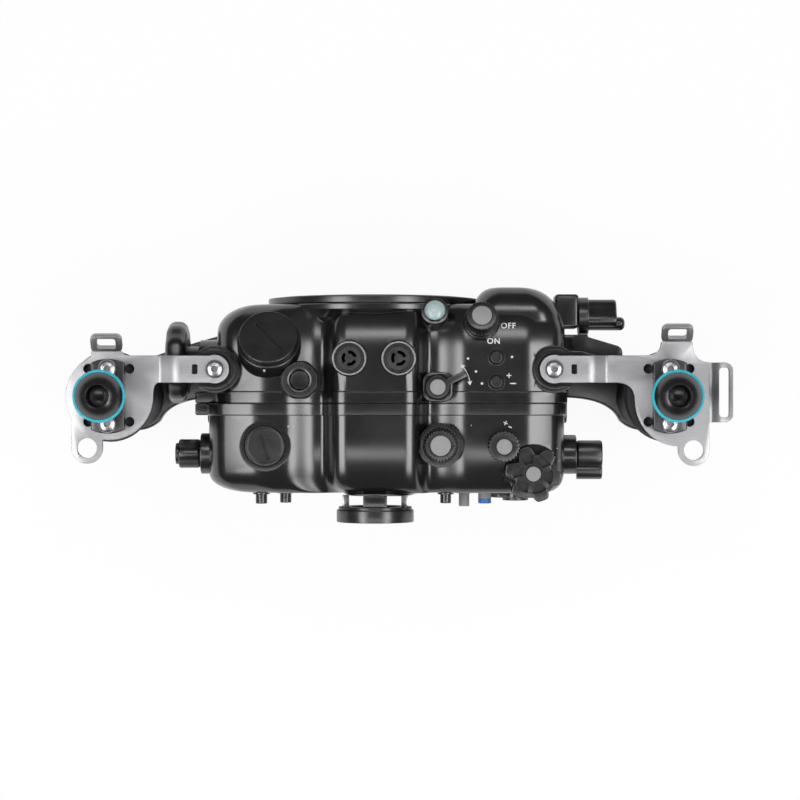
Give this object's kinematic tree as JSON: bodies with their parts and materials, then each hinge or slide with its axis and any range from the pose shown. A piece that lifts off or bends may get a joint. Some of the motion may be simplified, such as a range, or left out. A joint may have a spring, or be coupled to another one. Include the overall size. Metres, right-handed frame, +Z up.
{
  "type": "underwater camera housing",
  "caption": "Watertight two-shell housing for a camera, with side handles under steel brackets, ball mounts, lens port, knobs, dials, levers and push buttons.",
  "frame": {"origin": "centre of the underside of the tripod plate, under the lens axis", "axes": "+X to the right of someone holding the handles, along the longest side; +Y out of the lens port; +Z up"},
  "size_m": [0.3395, 0.122, 0.1974],
  "materials": {
    "black_anodised": "satin black anodised over fine bead blasting",
    "grip_rubber": "matt moulded",
    "steel_plate": "fine satin stainless plate",
    "bright_steel": "polished stainless",
    "grey_plastic": "matt moulded",
    "blue_plastic": "matt moulded",
    "oring_teal": "smooth moulded",
    "clear_window": "polished",
    "optic_disc": "polished",
    "dome_lens": "pale translucent",
    "circuit_board": "solder mask"
  },
  "bodies": {
    "housing": {"front_housing": "black_anodised", "main_oring": "oring_teal", "port_ring": "black_anodised", "base_plate": "black_anodised", "camera_tray": "black_anodised", "tray_screw": "bright_steel", "leak_sensor_board": "circuit_board", "large_plug": "black_anodised", "valve_cap": "black_anodised", "left_optical_port": "optic_disc", "right_optical_port": "optic_disc", "leak_dome": "dome_lens", "left_bracket": "steel_plate", "left_lower_arm": "black_anodised", "left_grip": "grip_rubber", "left_ball_base": "black_anodised", "left_ball": "black_anodised", "left_ball_oring": "oring_teal", "left_bracket_screw": "bright_steel", "left_rear_base_screw": "bright_steel", "left_front_base_screw": "bright_steel", "right_bracket": "steel_plate", "right_lower_arm": "black_anodised", "right_grip": "grip_rubber", "right_ball_base": "black_anodised", "right_ball": "black_anodised", "right_ball_oring": "oring_teal", "right_bracket_screw": "bright_steel", "right_rear_base_screw": "bright_steel", "right_front_base_screw": "bright_steel"},
    "back_cover": {"back_housing": "black_anodised", "rear_window": "clear_window", "finder_ring": "black_anodised", "finder_glass": "clear_window", "back_plug": "black_anodised"},
    "power_switch": {"power_knob": "black_anodised"},
    "selector": {"selector_lever": "black_anodised"},
    "front_roof_key": {"front_roof_button": "black_anodised"},
    "rear_roof_key": {"rear_roof_button": "black_anodised"},
    "zoom_control": {"zoom_knob": "black_anodised", "zoom_pinion": "grey_plastic"},
    "front_dial": {"front_dial_knob": "black_anodised"},
    "shutter": {"shutter_lever": "black_anodised"},
    "port_lock": {"port_lock_lever": "black_anodised"},
    "lens_release": {"lens_release_button": "black_anodised"},
    "left_side_latch": {"left_latch": "black_anodised"},
    "right_side_latch": {"right_latch": "black_anodised"},
    "mode_control": {"mode_dial": "black_anodised"},
    "exposure_control": {"exposure_dial": "black_anodised"},
    "star_control": {"star_dial": "black_anodised"},
    "right_knob": {"right_side_knob": "black_anodised"},
    "left_knob": {"left_side_knob": "black_anodised"},
    "menu_key": {"menu_button": "black_anodised"},
    "custom_key": {"custom_button": "black_anodised"},
    "focus_key": {"focus_button": "black_anodised"},
    "record_key": {"record_button": "grey_plastic"},
    "play_key": {"play_button": "blue_plastic"},
    "wheel": {"control_wheel": "black_anodised"}
  },
  "joints": [
    {"name": "back_slide", "type": "slide", "parent": "housing", "child": "back_cover", "axis": [0, -1, 0], "range_m": [0, 0.06]},
    {"name": "power_turn", "type": "hinge", "parent": "housing", "child": "power_switch", "pos_m": [0.056, 0.0139, 0.142], "axis": [0, 0.342, 0.9397], "range_deg": [-47, 0]},
    {"name": "selector_turn", "type": "hinge", "parent": "housing", "child": "selector", "pos_m": [0.0335, -0.0197, 0.141], "axis": [0, 0, 1], "range_deg": [-21, 19]},
    {"name": "front_roof_press", "type": "slide", "parent": "housing", "child": "front_roof_key", "axis": [0, 0, -1], "range_m": [0, 0.0015], "stiffness_N_per_m": 600, "springref_m": -0.001},
    {"name": "rear_roof_press", "type": "slide", "parent": "housing", "child": "rear_roof_key", "axis": [0, 0, -1], "range_m": [0, 0.0015], "stiffness_N_per_m": 600, "springref_m": -0.001},
    {"name": "zoom_turn", "type": "hinge", "parent": "housing", "child": "zoom_control", "pos_m": [-0.0926, -0.0062, 0.09], "axis": [1, 0, 0], "continuous": true},
    {"name": "front_dial_turn", "type": "hinge", "parent": "housing", "child": "front_dial", "pos_m": [0.1077, 0.0179, 0.11], "axis": [1, 0, 0], "continuous": true},
    {"name": "shutter_pull", "type": "hinge", "parent": "housing", "child": "shutter", "pos_m": [0.108, 0.0035, 0.116], "axis": [0, 0, 1], "range_deg": [-18, 0], "stiffness_Nm_per_rad": 0.05, "springref_deg": 11.46},
    {"name": "port_lock_turn", "type": "hinge", "parent": "housing", "child": "port_lock", "pos_m": [-0.05, 0.0235, 0.027], "axis": [0, 1, 0], "range_deg": [-60, 0]},
    {"name": "lens_release_press", "type": "slide", "parent": "housing", "child": "lens_release", "axis": [0, -1, 0], "range_m": [0, 0.002], "stiffness_N_per_m": 600, "springref_m": -0.001},
    {"name": "left_latch_turn", "type": "hinge", "parent": "housing", "child": "left_side_latch", "pos_m": [-0.087, -0.015, 0.056], "axis": [1, 0, 0], "range_deg": [-80, 0]},
    {"name": "right_latch_turn", "type": "hinge", "parent": "housing", "child": "right_side_latch", "pos_m": [0.1015, -0.015, 0.056], "axis": [1, 0, 0], "range_deg": [-80, 0]},
    {"name": "mode_turn", "type": "hinge", "parent": "back_cover", "child": "mode_control", "pos_m": [0.0349, -0.0496, 0.1442], "axis": [0, 0, 1], "continuous": true},
    {"name": "exposure_turn", "type": "hinge", "parent": "back_cover", "child": "exposure_control", "pos_m": [0.0673, -0.0501, 0.147], "axis": [0, 0, 1], "continuous": true},
    {"name": "star_turn", "type": "hinge", "parent": "back_cover", "child": "star_control", "pos_m": [0.0825, -0.0642, 0.138], "axis": [0, 0, 1], "continuous": true},
    {"name": "right_knob_turn", "type": "hinge", "parent": "back_cover", "child": "right_knob", "pos_m": [0.1068, -0.055, 0.11], "axis": [1, 0, 0], "range_deg": [0, 20], "stiffness_Nm_per_rad": 0.05, "springref_deg": -11.46},
    {"name": "left_knob_turn", "type": "hinge", "parent": "back_cover", "child": "left_knob", "pos_m": [-0.0905, -0.0545, 0.11], "axis": [1, 0, 0], "range_deg": [0, 90]},
    {"name": "menu_press", "type": "slide", "parent": "back_cover", "child": "menu_key", "axis": [0, 1, 0], "range_m": [0, 0.0015], "stiffness_N_per_m": 600, "springref_m": -0.001},
    {"name": "custom_press", "type": "slide", "parent": "back_cover", "child": "custom_key", "axis": [0, 1, 0], "range_m": [0, 0.0015], "stiffness_N_per_m": 600, "springref_m": -0.001},
    {"name": "focus_press", "type": "slide", "parent": "back_cover", "child": "focus_key", "axis": [0, 1, 0], "range_m": [0, 0.0015], "stiffness_N_per_m": 600, "springref_m": -0.001},
    {"name": "record_press", "type": "slide", "parent": "back_cover", "child": "record_key", "axis": [0, 1, 0], "range_m": [0, 0.0015], "stiffness_N_per_m": 600, "springref_m": -0.001},
    {"name": "play_press", "type": "slide", "parent": "back_cover", "child": "play_key", "axis": [0, 1, 0], "range_m": [0, 0.0015], "stiffness_N_per_m": 600, "springref_m": -0.001},
    {"name": "wheel_turn", "type": "hinge", "parent": "back_cover", "child": "wheel", "pos_m": [0.0768, -0.0745, 0.072], "axis": [0, 1, 0], "continuous": true}
  ]
}
